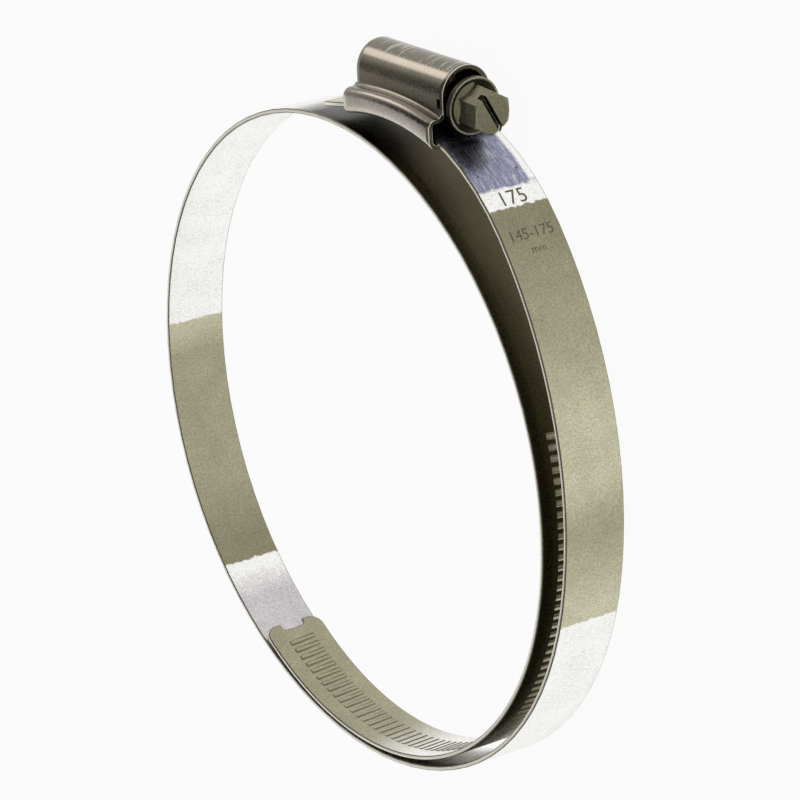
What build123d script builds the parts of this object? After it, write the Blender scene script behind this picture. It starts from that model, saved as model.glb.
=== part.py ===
from build123d import *
import math
import os

# Worm drive hose clamp, coiled and not yet threaded through its own housing. Sizes are in
# millimetres. The origin is the centre of the hose seat at the middle of the band's width,
# +Z runs along the ring's axis, +Y points at the housing and +X runs along the screw to its head.

# Band: one strip of stainless steel
BAND_WIDTH = 12.0
BAND_THICKNESS = 0.8
TONGUE_LENGTH = 13.8
TONGUE_CORNER_RADIUS = 0.4

# Coil: the inner face of the seat arc is the hose seat, and the strip spirals out from it.
# A heading is the strip's direction in degrees, turned clockwise from +X.
SEAT_RADIUS = 57.3
LAYER_GAP = 0.26
HEADING_TONGUE = -9.5
HEADING_SHOULDER = 52.5
HEADING_FLANK = 102.5
HEADING_OUTER_TURN = 152.5
HEADING_BACK = 212.5
HEADING_CROWN = 332.5
HEADING_SEAT = 452.5
HEADING_TIP = 575.5
HOUSING_BEND_RADIUS = 38.6
HOUSING_STANDOFF = 7.736
FLANK_GROWTH = 2.7
OUTER_TURN_LAYERS = 7.83
BACK_LAYERS = 1.04
CROWN_LAYERS = 2.08

# Fish-tail tip of the band
TIP_NOTCH_WIDTH = 4.7
TIP_NOTCH_DEPTH = 1.4
TIP_LOBE_RADIUS = 2.4
TIP_NOTCH_CORNER_RADIUS = 0.8

# Thread pressed into the outer face of the tail
THREAD_PITCH = 1.92
THREAD_PRESSED_LENGTH = 141.0
THREAD_TIP_MARGIN = 2.6
GROOVE_LENGTH = 5.6
GROOVE_MOUTH = 1.15
GROOVE_FLOOR = 0.6
GROOVE_DEPTH = 0.4

# Housing: one pressed and rolled sheet
SHEET_THICKNESS = 0.8
TUBE_RADIUS = 4.85
TUBE_LENGTH = 25.4
TUBE_ADVANCE = 1.9
TUBE_LIFT = 4.35
SADDLE_LENGTH = 25.4
SADDLE_ADVANCE = 1.3
SADDLE_HALF_WIDTH = 7.5
SADDLE_HEIGHT = 4.3
SADDLE_REAR_HEIGHT = 4.6
SADDLE_FRONT_HEIGHT = 5.1
SADDLE_CORNER_RADIUS = 1.5
SADDLE_SEAT_GAP = 0.06
SADDLE_CROWN_GAP = 0.35
SEAM_WIDTH = 0.5
CREASE_BEVEL = 0.5
LUG_LENGTH = 1.3
LUG_HEIGHT = 3.0
LUG_SETBACK = 0.6
LUG_GAP = 0.25
LUG_DENT = 0.45

# Screw: one piece with a hexagon head, a dished collar and a worm thread
HEAD_FLATS = 6.8
HEAD_LENGTH = 5.0
HEAD_CHAMFER_ANGLE = 30.0
HEAD_CHAMFER_FACE = 3.3
SLOT_WIDTH = 1.1
SLOT_DEPTH = 1.5
SLOT_ANGLE = 30.0
COLLAR_RADIUS = 5.0
COLLAR_THICKNESS = 1.2
COLLAR_DISH = 0.45
COLLAR_RIM = 0.65
COLLAR_MOUTH_GAP = 1.2
COLLAR_BAND_GAP = 0.8
NECK_RADIUS = 2.2
WORM_RADIUS = 3.4
WORM_CORE_RADIUS = 2.75
WORM_CREST = 0.5
WORM_ROOT = 1.2
WORM_BAND_GAP = 0.18
WORM_REAR_SETBACK = 9.0
PILOT_RADIUS = 2.0
PILOT_LENGTH = 5.0


def outward(heading):
    """Unit vector out of the coil where the strip runs at this heading."""
    turn = math.radians(heading)
    return Vector(math.sin(turn), math.cos(turn), 0)


def along(heading):
    """Unit vector along the strip at this heading."""
    turn = math.radians(heading)
    return Vector(math.cos(turn), -math.sin(turn), 0)


def add_arc(arcs, start, radius):
    """Puts one more arc before the first, tangent to it."""
    end, next_end, next_radius, next_centre = arcs[0]
    centre = next_centre + outward(end) * (next_radius - radius)
    arcs.insert(0, (start, end, radius, centre))


def shoulder_radius(flank, seat):
    """Radius of the arc that lifts the housing's bend to its standoff from the seat."""
    start, end, radius, centre = flank
    lean = outward(HEADING_FLANK).Y
    rise = outward(HEADING_SHOULDER).Y
    lift = seat + HOUSING_STANDOFF - centre.Y - lean * radius
    return (lift - (1 - rise) * HOUSING_BEND_RADIUS) / (rise - lean)


def coil_arcs():
    """Arcs of the strip's middle line, from tongue to tip: start, end, radius and centre."""
    seat = SEAT_RADIUS + BAND_THICKNESS / 2
    layer = BAND_THICKNESS + LAYER_GAP
    arcs = [(HEADING_SEAT, HEADING_TIP, seat, Vector(0, 0, 0))]
    add_arc(arcs, HEADING_CROWN, seat + CROWN_LAYERS * layer)
    add_arc(arcs, HEADING_BACK, seat + BACK_LAYERS * layer)
    add_arc(arcs, HEADING_OUTER_TURN, seat + OUTER_TURN_LAYERS * layer)
    add_arc(arcs, HEADING_FLANK, seat + FLANK_GROWTH)
    add_arc(arcs, HEADING_SHOULDER, shoulder_radius(arcs[0], seat))
    add_arc(arcs, HEADING_TONGUE, HOUSING_BEND_RADIUS)
    return arcs


def strip_edge(arcs, offset):
    """Edges of one face of the strip, at an offset outwards from its middle line."""
    edges = []
    for start, end, radius, centre in arcs:
        edges.append(CenterArc(centre, radius + offset, 90 - end, end - start))
    start, end, radius, centre = arcs[0]
    root = centre + outward(start) * (radius + offset)
    edges.append(Line(root - along(start) * TONGUE_LENGTH, root))
    return edges


def coiled_strip(arcs):
    """The bare strip: its edgewise outline, drawn at mid width and pulled both ways."""
    half = BAND_THICKNESS / 2
    start, end, radius, centre = arcs[0]
    tongue_end = centre + outward(start) * radius - along(start) * TONGUE_LENGTH
    tip_start, tip_end, tip_radius, tip_centre = arcs[-1]
    tip = tip_centre + outward(tip_end) * tip_radius
    edges = strip_edge(arcs, half) + strip_edge(arcs, -half)
    edges.append(Line(tongue_end + outward(start) * half, tongue_end - outward(start) * half))
    edges.append(Line(tip + outward(tip_end) * half, tip - outward(tip_end) * half))
    outline = make_face(Curve() + edges)
    return extrude(outline, BAND_WIDTH / 2, both=True)


def flat_on_strip(arc, heading):
    """Plane on the strip's middle line: x along the strip, y across its width, z outwards."""
    start, end, radius, centre = arc
    return Plane(centre + outward(heading) * radius, x_dir=along(heading), z_dir=outward(heading))


def end_cutter(outline, place):
    """What to cut away round an end of the strip so that it keeps the given outline."""
    reach = 4 * BAND_THICKNESS + TIP_LOBE_RADIUS
    waste = Pos(reach / 4, 0) * Rectangle(1.5 * reach, 2 * BAND_WIDTH) - outline
    return extrude(place * waste, BAND_THICKNESS, both=True)


def tip_cutter(arcs):
    """Fish-tail: two rounded lobes with a shallow square notch between them."""
    length = 8 * BAND_THICKNESS + 2 * TIP_LOBE_RADIUS
    lobes = Pos(-length / 2, 0) * Rectangle(length, BAND_WIDTH)
    lobes = fillet(lobes.vertices().group_by(Axis.X)[-1], TIP_LOBE_RADIUS)
    notch = Pos(-TIP_NOTCH_DEPTH, 0) * Rectangle(2 * TIP_NOTCH_DEPTH, TIP_NOTCH_WIDTH)
    notch = fillet(notch.vertices().group_by(Axis.X)[0], TIP_NOTCH_CORNER_RADIUS)
    notch = Pos(TIP_NOTCH_DEPTH, 0) * notch
    return end_cutter(lobes - notch, flat_on_strip(arcs[-1], HEADING_TIP))


def tongue_cutter(arcs):
    """Rounded corners on the short tongue behind the housing."""
    length = 8 * BAND_THICKNESS + 2 * TIP_LOBE_RADIUS
    tongue = Pos(-length / 2, 0) * Rectangle(length, BAND_WIDTH)
    tongue = fillet(tongue.vertices().group_by(Axis.X)[-1], TONGUE_CORNER_RADIUS)
    start, end, radius, centre = arcs[0]
    tongue_end = centre + outward(start) * radius - along(start) * TONGUE_LENGTH
    place = Plane(tongue_end, x_dir=-along(start), z_dir=outward(start))
    return end_cutter(tongue, place)


def place_from_tip(arcs, distance):
    """The arc and heading that lie this far along the strip from its tip."""
    for start, end, radius, centre in reversed(arcs):
        turn = math.degrees(distance / radius)
        if turn <= end - start:
            return (start, end, radius, centre), end - turn
        distance -= math.radians(end - start) * radius
    return arcs[0], HEADING_TONGUE


def thread_grooves(arcs):
    """Pressed thread of the tail: slanted grooves in the strip's outer face."""
    slant = math.degrees(math.atan(THREAD_PITCH / (2 * math.pi * WORM_RADIUS)))
    top = BAND_THICKNESS / 2
    lip = LAYER_GAP / 3
    slope = (GROOVE_MOUTH - GROOVE_FLOOR) / 2 / GROOVE_DEPTH
    half_top = GROOVE_MOUTH / 2 + slope * lip
    section = make_face(Polyline(
        (-half_top, top + lip),
        (half_top, top + lip),
        (GROOVE_FLOOR / 2, top - GROOVE_DEPTH),
        (-GROOVE_FLOOR / 2, top - GROOVE_DEPTH),
        close=True,
    ))
    groove = extrude(Plane.XZ * section, GROOVE_LENGTH / 2, both=True)
    groove = Rot(0, 0, slant) * groove
    count = int(THREAD_PRESSED_LENGTH / THREAD_PITCH) + 1
    grooves = []
    for number in range(count):
        arc, heading = place_from_tip(arcs, THREAD_TIP_MARGIN + number * THREAD_PITCH)
        grooves.append(flat_on_strip(arc, heading) * groove)
    return grooves


def make_band(arcs):
    """The whole band: coiled strip, tongue, fish-tail and pressed thread."""
    band = coiled_strip(arcs) - tip_cutter(arcs) - tongue_cutter(arcs)
    return band - thread_grooves(arcs)


def bend_centre(arcs):
    """Centre of the arc on which the band runs through the housing."""
    return arcs[0][3]


def tube_middle(arcs):
    """Point below the middle of the tube, level with the centre of the bend."""
    return bend_centre(arcs) + Vector(TUBE_ADVANCE, 0, 0)


def band_underside(arcs, advance):
    """Point on the band's inner face at a distance along X from the bend's middle."""
    start, end, radius, centre = arcs[0]
    turn = max(math.degrees(math.asin(advance / radius)), start)
    on_arc = centre + outward(turn) * (radius - BAND_THICKNESS / 2)
    straight = centre.X + advance - on_arc.X
    return on_arc + along(turn) * (min(straight, 0) / along(turn).X)


def saddle_side(arcs, inset):
    """Arcs of the saddle seen from its side: its floor under the band, and its shoulders."""
    floor = []
    shoulder = []
    for advance, gap, height in (
        (SADDLE_ADVANCE - SADDLE_LENGTH / 2, SADDLE_SEAT_GAP, SADDLE_REAR_HEIGHT),
        (0, SADDLE_CROWN_GAP, SADDLE_HEIGHT),
        (SADDLE_ADVANCE + SADDLE_LENGTH / 2, SADDLE_SEAT_GAP, SADDLE_FRONT_HEIGHT),
    ):
        foot = band_underside(arcs, advance) - Vector(0, gap + SHEET_THICKNESS, 0)
        floor.append(foot + Vector(0, inset, 0))
        shoulder.append(foot + Vector(0, height - inset, 0))
    return ThreePointArc(*floor), ThreePointArc(*shoulder)


def saddle_body(arcs, inset, length):
    """Saddle round the band, shrunk by an inset on every side."""
    floor, shoulder = saddle_side(arcs, inset)
    middle = bend_centre(arcs) + Vector(SADDLE_ADVANCE, shoulder.radius, 0)
    top = Pos(shoulder.arc_center) * Circle(shoulder.radius)
    bottom = Pos(floor.arc_center) * Circle(floor.radius)
    window = Pos(middle) * Rectangle(length, 2 * shoulder.radius)
    saddle = extrude((top & window) - bottom, SADDLE_HALF_WIDTH - inset, both=True)
    return saddle


def round_saddle(saddle):
    """Rounds the long edges of the saddle."""
    corners = [
        edge
        for edge in saddle.edges().filter_by(GeomType.CIRCLE)
        if abs(edge.center().Z) > SADDLE_HALF_WIDTH / 2
    ]
    return fillet(corners, SADDLE_CORNER_RADIUS)


def tube_centre_height():
    """Height of the tube's centre line above the centre of the bend."""
    return HOUSING_BEND_RADIUS + BAND_THICKNESS / 2 + TUBE_LIFT


def tube_body(arcs, inset, length):
    """Arch over the screw with straight sides that run down into the saddle."""
    floor, shoulder = saddle_side(arcs, SHEET_THICKNESS)
    lowest = min((shoulder @ 0).Y, (shoulder @ 1).Y)
    foot = lowest - bend_centre(arcs).Y - SHEET_THICKNESS - inset / 2
    radius = TUBE_RADIUS - inset
    centre = tube_centre_height()
    arch = Pos(0, centre) * Circle(radius)
    sides = Pos(0, (foot + centre) / 2) * Rectangle(2 * radius, centre - foot)
    plane = Plane(tube_middle(arcs), x_dir=(0, 0, -1), z_dir=(1, 0, 0))
    return extrude(plane * (arch + sides), length / 2, both=True)


def lug_station():
    """Distance from the bend's middle to the middle of the lugs that hold the screw."""
    return TUBE_ADVANCE + TUBE_LENGTH / 2 - LUG_SETBACK - LUG_LENGTH / 2


def lug_height():
    """Height of the lugs above the bend's centre, level with the screw's neck."""
    return worm_height() - lug_station() * math.sin(math.radians(screw_droop()))


def lug_pair(arcs, inner, outer):
    """A block on each side of the tube, between two distances from its middle plane."""
    centre = bend_centre(arcs) + Vector(lug_station(), lug_height(), 0)
    block = Box(LUG_LENGTH, LUG_HEIGHT, outer - inner)
    middle = (inner + outer) / 2
    return [Pos(centre + Vector(0, 0, side * middle)) * block for side in (1, -1)]


def make_housing(arcs):
    """Housing: tube and saddle pressed from one sheet, with the seam under the band."""
    housing = round_saddle(saddle_body(arcs, 0, SADDLE_LENGTH)) + tube_body(arcs, 0, TUBE_LENGTH)
    creases = [
        edge
        for edge in housing.edges().filter_by(GeomType.CIRCLE)
        if abs(abs(edge.center().Z) - TUBE_RADIUS) < SHEET_THICKNESS / 4
        and edge.length > SADDLE_LENGTH / 2
    ]
    housing = chamfer(creases, CREASE_BEVEL)
    housing -= saddle_body(arcs, SHEET_THICKNESS, 2 * SADDLE_LENGTH)
    housing -= tube_body(arcs, SHEET_THICKNESS, 2 * TUBE_LENGTH)
    seam = Box(2 * SADDLE_LENGTH, HOUSING_BEND_RADIUS, SEAM_WIDTH)
    housing -= Pos(bend_centre(arcs) + Vector(0, HOUSING_BEND_RADIUS / 2, 0)) * seam
    wall = TUBE_RADIUS - SHEET_THICKNESS
    housing += lug_pair(arcs, NECK_RADIUS + LUG_GAP, wall + SHEET_THICKNESS / 4)
    housing -= lug_pair(arcs, TUBE_RADIUS - LUG_DENT, TUBE_RADIUS + SHEET_THICKNESS)
    return housing


def worm_height():
    """Height of the screw's axis above the bend's centre, where the worm rides on the band."""
    return HOUSING_BEND_RADIUS + BAND_THICKNESS / 2 + WORM_BAND_GAP + WORM_RADIUS


def collar_station():
    """Distance along the screw from the bend's middle to the back of the collar."""
    return TUBE_ADVANCE + TUBE_LENGTH / 2 + COLLAR_MOUTH_GAP


def screw_droop():
    """Angle in degrees by which the loose screw dips until its collar reaches the band."""
    height = worm_height()
    station = collar_station()
    clear = HOUSING_BEND_RADIUS + BAND_THICKNESS / 2 + COLLAR_BAND_GAP
    lever = math.hypot(station, COLLAR_RADIUS)
    drop = (lever ** 2 + height ** 2 - clear ** 2) / (2 * height)
    return math.degrees(math.asin(drop / lever) - math.atan2(COLLAR_RADIUS, station))


def worm_ends():
    """Where the worm starts and ends along the screw."""
    front = lug_station() - LUG_LENGTH / 2 - LUG_GAP
    return TUBE_ADVANCE + WORM_REAR_SETBACK - TUBE_LENGTH / 2, front


def screw_shank():
    """Turned shape of the screw without its thread: pilot, core, neck and dished collar."""
    rear, front = worm_ends()
    collar = collar_station()
    face = collar + COLLAR_THICKNESS
    bevel = (WORM_CORE_RADIUS - PILOT_RADIUS) / 2
    head = HEAD_FLATS / 2
    outline = Polyline(
        (rear - PILOT_LENGTH, 0),
        (rear - PILOT_LENGTH, PILOT_RADIUS - bevel),
        (rear - PILOT_LENGTH + bevel, PILOT_RADIUS),
        (rear, PILOT_RADIUS),
        (rear, WORM_CORE_RADIUS),
        (front, WORM_CORE_RADIUS),
        (front, NECK_RADIUS),
        (collar, NECK_RADIUS),
        (collar, COLLAR_RADIUS),
        (face, COLLAR_RADIUS),
        (face, COLLAR_RADIUS - COLLAR_RIM),
        (face - COLLAR_DISH, head),
        (face - COLLAR_DISH, 0),
        close=True,
    )
    return revolve(make_face(outline), Axis.X, 360)


def worm_thread():
    """Worm: a trapezoid drawn round a helix and run out at both ends."""
    rear, front = worm_ends()
    root = WORM_CORE_RADIUS - (WORM_RADIUS - WORM_CORE_RADIUS) / 4
    length = front - rear - WORM_ROOT
    path = Helix(THREAD_PITCH, length, root, center=(0, 0, 0), direction=(0, 0, 1))
    section = Plane(path @ 0, x_dir=(1, 0, 0), z_dir=(0, 1, 0)) * make_face(Polyline(
        (0, -WORM_ROOT / 2),
        (WORM_RADIUS - root, -WORM_CREST / 2),
        (WORM_RADIUS - root, WORM_CREST / 2),
        (0, WORM_ROOT / 2),
        close=True,
    ))
    thread = sweep(section, path=path, is_frenet=True)
    return Pos(rear + WORM_ROOT / 2, 0, 0) * Rot(0, 90, 0) * thread


def screw_head():
    """Hexagon head with turned-down corners and a driver slot across its flats."""
    base = collar_station() + COLLAR_THICKNESS - COLLAR_DISH
    end = collar_station() + COLLAR_THICKNESS + HEAD_LENGTH
    corner = HEAD_FLATS / math.sqrt(3)
    prism = extrude(
        Plane((base, 0, 0), x_dir=(0, 1, 0), z_dir=(1, 0, 0)) * RegularPolygon(corner, 6),
        end - base,
    )
    fall = (corner - HEAD_CHAMFER_FACE) * math.tan(math.radians(HEAD_CHAMFER_ANGLE))
    turned = revolve(
        make_face(Polyline(
            (base, 0),
            (base, corner),
            (end - fall, corner),
            (end, HEAD_CHAMFER_FACE),
            (end, 0),
            close=True,
        )),
        Axis.X,
        360,
    )
    slot = Pos(end, 0, 0) * Rot(SLOT_ANGLE, 0, 0) * Box(2 * SLOT_DEPTH, 2 * HEAD_FLATS, SLOT_WIDTH)
    return (prism & turned) - slot


def make_screw(arcs):
    """Screw, laid on the band inside the tube, dipping until its collar reaches the band."""
    screw = screw_shank() + worm_thread() + screw_head()
    height = bend_centre(arcs) + Vector(0, worm_height(), 0)
    return Pos(height) * Rot(0, 0, -screw_droop()) * screw


def main():
    os.makedirs("parts", exist_ok=True)
    arcs = coil_arcs()
    export_step(make_band(arcs), "parts/band.step")
    export_step(make_housing(arcs), "parts/housing.step")
    export_step(make_screw(arcs), "parts/screw.step")


main()
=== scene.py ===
import math

import bmesh
import bpy
from mathutils import Matrix, Vector


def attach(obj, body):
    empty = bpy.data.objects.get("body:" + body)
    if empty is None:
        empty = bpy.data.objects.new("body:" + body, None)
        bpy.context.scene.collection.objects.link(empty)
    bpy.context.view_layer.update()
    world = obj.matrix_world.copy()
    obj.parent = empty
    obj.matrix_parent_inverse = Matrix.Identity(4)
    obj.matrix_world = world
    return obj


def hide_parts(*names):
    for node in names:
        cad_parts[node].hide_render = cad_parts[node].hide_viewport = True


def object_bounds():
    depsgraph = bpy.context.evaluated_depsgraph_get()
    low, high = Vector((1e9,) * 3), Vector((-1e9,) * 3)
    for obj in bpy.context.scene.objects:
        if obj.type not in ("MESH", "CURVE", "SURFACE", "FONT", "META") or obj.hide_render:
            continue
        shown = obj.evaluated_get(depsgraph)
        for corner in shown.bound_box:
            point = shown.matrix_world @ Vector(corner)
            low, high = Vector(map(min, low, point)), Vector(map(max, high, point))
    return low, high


bl_info = {
    "name": "Worm drive hose clamp",
    "version": (1, 0, 0),
    "blender": (4, 5, 0),
    "location": "View3D > Sidebar > Hose Clamp",
    "description": "Builds a coiled worm drive hose clamp with its band, housing and screw",
    "category": "Mesh",
}

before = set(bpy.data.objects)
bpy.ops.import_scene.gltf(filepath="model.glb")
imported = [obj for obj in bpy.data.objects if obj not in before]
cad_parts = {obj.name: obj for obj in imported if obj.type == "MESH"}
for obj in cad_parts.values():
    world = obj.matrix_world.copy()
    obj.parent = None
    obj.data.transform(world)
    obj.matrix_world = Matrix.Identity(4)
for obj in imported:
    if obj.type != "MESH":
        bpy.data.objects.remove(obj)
CAD_BOX = [list(corner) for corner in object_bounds()]
MM = 0.001


def shade(red, green, blue):
    """A colour as a display shows it, from 0 to 255, made linear for the materials."""
    parts = [part / 255 for part in (red, green, blue)]
    return (*(p / 12.92 if p <= 0.04045 else ((p + 0.055) / 1.055) ** 2.4 for p in parts), 1)


class BandSettings(bpy.types.PropertyGroup):
    """Sizes and colours of the steel strip"""
    width: bpy.props.FloatProperty(
        name="Width", description="Width of the strip", default=12 * MM, unit="LENGTH")
    thickness: bpy.props.FloatProperty(
        name="Thickness", description="Thickness of the strip", default=0.8 * MM, unit="LENGTH")
    seat_radius: bpy.props.FloatProperty(
        name="Seat radius", description="Inner radius of the arc that holds the hose",
        default=57.3 * MM, unit="LENGTH")
    tongue: bpy.props.FloatProperty(
        name="Tongue", description="Straight end of the strip behind the housing",
        default=13.8 * MM, unit="LENGTH")
    pitch: bpy.props.FloatProperty(
        name="Thread pitch", description="Distance between the pressed grooves",
        default=1.92 * MM, unit="LENGTH")
    grooves: bpy.props.IntProperty(
        name="Grooves", description="Number of pressed grooves", default=73, min=1)
    groove_length: bpy.props.FloatProperty(
        name="Groove length", description="Length of a groove across the strip",
        default=5.6 * MM, unit="LENGTH")
    satin: bpy.props.FloatVectorProperty(
        name="Satin", description="Most of the strip, rolled to a satin sheen",
        subtype="COLOR", size=4, min=0, max=1, default=shade(166, 162, 136))
    # Pale is a painted reflection: the strip shown lighter where it mirrors the bright
    # surroundings.
    pale: bpy.props.FloatVectorProperty(
        name="Pale", description="Strip rubbed lighter", subtype="COLOR", size=4, min=0, max=1,
        default=shade(196, 193, 166))
    # Bright is a painted reflection: the strip shown near white where it mirrors the white
    # surroundings.
    bright: bpy.props.FloatVectorProperty(
        name="Bright", description="Strip polished to white", subtype="COLOR", size=4,
        min=0, max=1, default=shade(252, 251, 246))
    # Lilac is a painted reflection with a faint cool tint.
    lilac: bpy.props.FloatVectorProperty(
        name="Lilac", description="Polished strip with a faint cool tint", subtype="COLOR",
        size=4, min=0, max=1, default=shade(206, 202, 204))
    # Olive is a painted reflection, darker than the satin beside the brighter stretches.
    olive: bpy.props.FloatVectorProperty(
        name="Olive", description="Duller satin beside the polished stretches", subtype="COLOR",
        size=4, min=0, max=1, default=shade(142, 137, 113))
    # Painted shade on the sloped sides of the low ridges inside the tail.
    ridge: bpy.props.FloatVectorProperty(
        name="Ridge", description="Sides of the low ridges inside the tail", subtype="COLOR",
        size=4, min=0, max=1, default=shade(116, 110, 90))
    violet: bpy.props.FloatVectorProperty(
        name="Violet", description="Blue tint of the strip beside the housing", subtype="COLOR",
        size=4, min=0, max=1, default=shade(134, 137, 162))
    # Painted shade on the strip where it lies between the turns.
    gap_shade: bpy.props.FloatVectorProperty(
        name="Dusk", description="Dull strip between the turns", subtype="COLOR", size=4,
        min=0, max=1, default=shade(84, 78, 60))
    # Painted shade on the strip between the turns and under the housing and the screw's collar.
    deep_shade: bpy.props.FloatVectorProperty(
        name="Deep", description="Dark strip under the housing", subtype="COLOR", size=4,
        min=0, max=1, default=shade(46, 43, 35))
    # Painted reflection: the narrow edges, and the groove walls, are shown near white.
    edge: bpy.props.FloatVectorProperty(
        name="Edge", description="Narrow edges of the strip, worn bright", subtype="COLOR",
        size=4, min=0, max=1, default=shade(238, 235, 222))
    # Painted shade along the rounded corners beside the narrow edges; the stamped marks get the
    # same colour.
    corner: bpy.props.FloatVectorProperty(
        name="Corner", description="Rounded corners beside the narrow edges", subtype="COLOR",
        size=4, min=0, max=1, default=shade(104, 98, 80))
    # Painted highlight: the floors of the pressed grooves are shown pale.
    groove: bpy.props.FloatVectorProperty(
        name="Groove", description="Pressed grooves, rubbed by the worm", subtype="COLOR",
        size=4, min=0, max=1, default=shade(206, 203, 188))


class HousingSettings(bpy.types.PropertyGroup):
    """Sizes and colours of the pressed housing"""
    sheet: bpy.props.FloatProperty(
        name="Sheet", description="Thickness of the pressed sheet", default=0.8 * MM, unit="LENGTH")
    tube_radius: bpy.props.FloatProperty(
        name="Tube radius", description="Outer radius of the tube", default=4.85 * MM,
        unit="LENGTH")
    length: bpy.props.FloatProperty(
        name="Length", description="Length of the tube", default=25.4 * MM, unit="LENGTH")
    half_width: bpy.props.FloatProperty(
        name="Half width", description="Half the width of the saddle", default=7.5 * MM,
        unit="LENGTH")
    corner: bpy.props.FloatProperty(
        name="Corner radius", description="Rounding of the saddle's long edges",
        default=1.5 * MM, unit="LENGTH")
    crease: bpy.props.FloatProperty(
        name="Crease radius", description="Rounding where the tube meets the saddle",
        default=0.7 * MM, unit="LENGTH")
    tube_tone: bpy.props.FloatVectorProperty(
        name="Tube steel", description="Colour of the tube", subtype="COLOR", size=4,
        min=0, max=1, default=shade(120, 114, 101))
    # Painted reflection: the saddle's sides are shown paler than the tube.
    painted_saddle_light: bpy.props.FloatVectorProperty(
        name="Saddle steel", description="Colour of the saddle's sides", subtype="COLOR", size=4,
        min=0, max=1, default=shade(186, 179, 170))
    # Painted shade: the sheet's inner faces, inside the tube and under the saddle, are shown
    # darker.
    inside_shade_tone: bpy.props.FloatVectorProperty(
        name="Inside", description="Colour inside the tube and saddle", subtype="COLOR", size=4,
        min=0, max=1, default=shade(78, 74, 60))
    cut_tone: bpy.props.FloatVectorProperty(
        name="Cut edge", description="Colour of the sheet's cut edges", subtype="COLOR", size=4,
        min=0, max=1, default=shade(82, 79, 62))
    # Painted highlight on the bevelled sheet edges; the same colour also marks the real scratches
    # on the tube's top.
    rim_tone: bpy.props.FloatVectorProperty(
        name="Rim", description="Colour of the rubbed corners of the sheet", subtype="COLOR",
        size=4, min=0, max=1, default=shade(222, 218, 204))


class ScrewSettings(bpy.types.PropertyGroup):
    """Sizes and colours of the screw"""
    flats: bpy.props.FloatProperty(
        name="Across flats", description="Width of the hexagon across its flats",
        default=6.8 * MM, unit="LENGTH")
    head_length: bpy.props.FloatProperty(
        name="Head length", description="Length of the hexagon beyond the collar",
        default=5 * MM, unit="LENGTH")
    collar_radius: bpy.props.FloatProperty(
        name="Collar radius", description="Radius of the collar", default=5 * MM, unit="LENGTH")
    slot_width: bpy.props.FloatProperty(
        name="Slot width", description="Width of the driver slot", default=1.1 * MM,
        unit="LENGTH")
    pitch: bpy.props.FloatProperty(
        name="Worm pitch", description="Advance of the worm in one turn", default=1.92 * MM,
        unit="LENGTH")
    tone: bpy.props.FloatVectorProperty(
        name="Steel tone", description="Colour of the screw's steel", subtype="COLOR", size=4,
        min=0, max=1, default=shade(116, 112, 92))
    # Painted reflection: the dish's upper facets are shown near white.
    dish_tone: bpy.props.FloatVectorProperty(
        name="Dish", description="Colour of the polished dish in the collar", subtype="COLOR",
        size=4, min=0, max=1, default=shade(236, 235, 226))
    shadow_tone: bpy.props.FloatVectorProperty(
        name="Shadow", description="Colour of the slot and of the dish's wall", subtype="COLOR",
        size=4, min=0, max=1, default=shade(56, 53, 42))
    # Painted highlight along the bevelled edges of the head and the collar's front.
    rim_tone: bpy.props.FloatVectorProperty(
        name="Rim", description="Colour of the rubbed corners", subtype="COLOR", size=4,
        min=0, max=1, default=shade(214, 210, 196))


class StageSettings(bpy.types.PropertyGroup):
    """Floor, light and background"""
    floor_tone: bpy.props.FloatVectorProperty(
        name="Floor", description="Colour of the floor", subtype="COLOR", size=4, min=0, max=1,
        default=(0.9, 0.9, 0.9, 1))
    world_level: bpy.props.FloatProperty(
        name="World light", description="Strength of the light from all round",
        default=1, min=0)
    key_power: bpy.props.FloatProperty(
        name="Key light", description="Power of the soft lamp behind the clamp", default=0.75,
        min=0, unit="POWER")


def add_node(tree, kind, inputs=None, **values):
    """A node with its settings made, and each input linked or given its value."""
    node = tree.nodes.new(kind)
    for key, value in values.items():
        setattr(node, key, value)
    for key, value in (inputs or {}).items():
        if isinstance(value, bpy.types.NodeSocket):
            tree.links.new(value, node.inputs[key])
        else:
            node.inputs[key].default_value = value
    return node


def spread(tree, value, low, high):
    """A noise's middle range stretched to run from low to high."""
    node = add_node(tree, "ShaderNodeMapRange", {
        "Value": value, "From Min": 0.3, "From Max": 0.7, "To Min": low, "To Max": high})
    return node.outputs["Result"]


def start_steel(name):
    """A new material's node tree and its shader, set to bare metal."""
    material = bpy.data.materials.new(name)
    material.use_nodes = True
    tree = material.node_tree
    shader = tree.nodes["Principled BSDF"]
    shader.inputs["Metallic"].default_value = 1
    return material, tree, shader


def grain_steel(tree, shader, colour, roughness, grain=0.24):
    """Gives bare metal a fine sparkle, soft patches, and a roughness and bump to match."""
    place = add_node(tree, "ShaderNodeTexCoord").outputs["Object"]
    fine = add_node(tree, "ShaderNodeTexNoise", {
        "Vector": place, "Scale": 3000, "Detail": 2, "Roughness": 0.6}).outputs["Fac"]
    wide = add_node(tree, "ShaderNodeTexNoise", {
        "Vector": place, "Scale": 180, "Detail": 3, "Roughness": 0.55}).outputs["Fac"]
    sparkle = spread(tree, fine, 1 - grain, 1 + grain)
    patches = spread(tree, wide, 0.93, 1.07)
    both = add_node(tree, "ShaderNodeMath", {0: sparkle, 1: patches}, operation="MULTIPLY")
    toned = add_node(tree, "ShaderNodeVectorMath", {0: colour, "Scale": both.outputs[0]},
                     operation="SCALE")
    tree.links.new(toned.outputs[0], shader.inputs["Base Color"])
    tree.links.new(spread(tree, fine, roughness - 0.06, roughness + 0.08),
                   shader.inputs["Roughness"])
    bump = add_node(tree, "ShaderNodeBump", {
        "Height": fine, "Strength": 0.3, "Distance": 0.01 * MM})
    tree.links.new(bump.outputs[0], shader.inputs["Normal"])


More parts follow.
